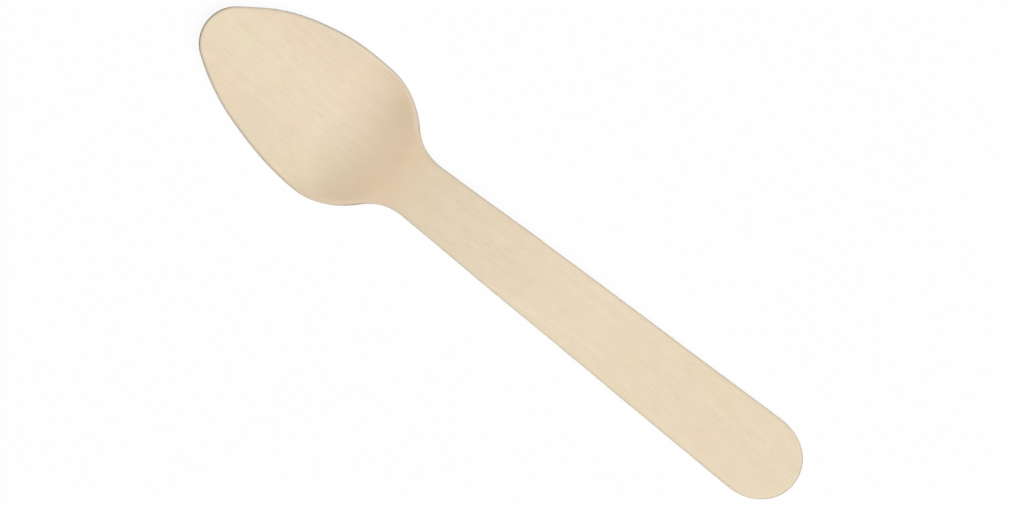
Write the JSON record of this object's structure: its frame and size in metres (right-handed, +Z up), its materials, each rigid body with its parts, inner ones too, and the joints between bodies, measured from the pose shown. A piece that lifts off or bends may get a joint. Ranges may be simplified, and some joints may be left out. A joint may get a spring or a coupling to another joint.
{
  "type": "wooden spoon",
  "caption": "Disposable wooden teaspoon pressed from one sheet of birch veneer, with a shallow creased bowl and an arched flat handle.",
  "frame": {"origin": "centre of the spoon's box, at the level of the table that its bowl and its handle's end rest on", "axes": "+X from the handle's end to the bowl's tip, +Y across, +Z up out of the bowl"},
  "size_m": [0.1102, 0.023, 0.0055],
  "materials": {
    "birch": "bare sanded birch veneer, matt"
  },
  "bodies": {
    "root": {"spoon": "birch"}
  },
  "joints": []
}
